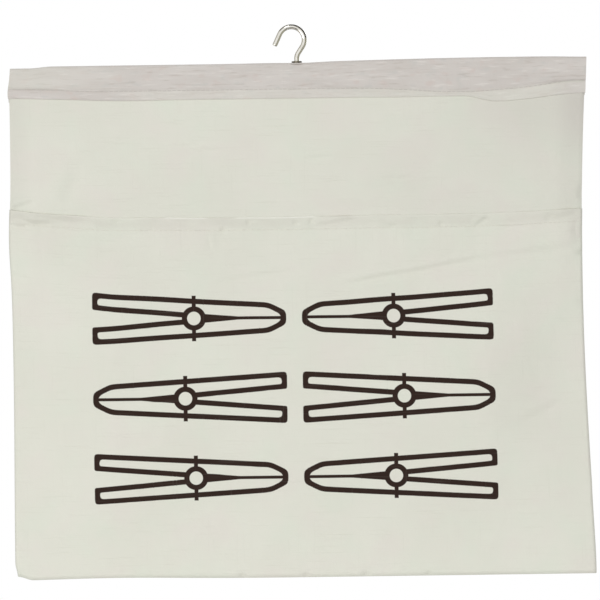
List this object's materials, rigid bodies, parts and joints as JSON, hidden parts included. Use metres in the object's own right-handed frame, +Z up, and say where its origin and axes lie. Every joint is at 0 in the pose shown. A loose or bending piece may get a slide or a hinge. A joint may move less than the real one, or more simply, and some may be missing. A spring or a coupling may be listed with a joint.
{
  "type": "peg bag",
  "caption": "Flat cloth bag for clothes pegs: a wide front pocket with an open mouth, sewn below a casing that holds a wooden bar and a swivelling wire hook.",
  "frame": {"origin": "seat of the hook: the top of the inside of its bend, where it rests on a line or rail", "axes": "+X to the right seen from the front, along the bar; +Y towards the back of the bag, which lies against a wall; +Z up, along the stem of the hook"},
  "size_m": [0.37, 0.0207, 0.3549],
  "materials": {
    "linen": "plain woven natural cloth, matt",
    "casing_linen": "the same cloth over the bar, a shade darker",
    "hook_plate": "bright nickel plated steel wire",
    "ferrule_plate": "nickel plated, a little dull",
    "washer_steel": "zinc plated",
    "bar_wood": "planed, unvarnished",
    "sewing_thread": "spun thread",
    "print_ink": "dark brown pigment print in the cloth"
  },
  "bodies": {
    "hook": {"hook": "hook_plate"},
    "bag": {"hook_ferrule": "ferrule_plate", "hook_washer": "washer_steel", "hanger_bar": "bar_wood", "top_casing": "casing_linen", "back_panel": "linen", "upper_front_panel": "linen", "upper_panel_hem": "linen", "left_side_seam": "linen", "right_side_seam": "linen", "bottom_seam": "linen"},
    "pocket_front": {"pocket_front_panel": "linen", "pocket_mouth_hem": "linen"}
  },
  "joints": [
    {"name": "bag_swivel", "type": "hinge", "parent": "hook", "child": "bag", "pos_m": [0.0033, 0, -0.0217], "axis": [0, 0, 1], "continuous": true},
    {"name": "mouth_open", "type": "hinge", "parent": "bag", "child": "pocket_front", "pos_m": [0.0033, -0.00245, -0.3517], "axis": [1, 0, 0], "range_deg": [0, 12], "stiffness_Nm_per_rad": 0.05, "springref_deg": -8.59}
  ]
}
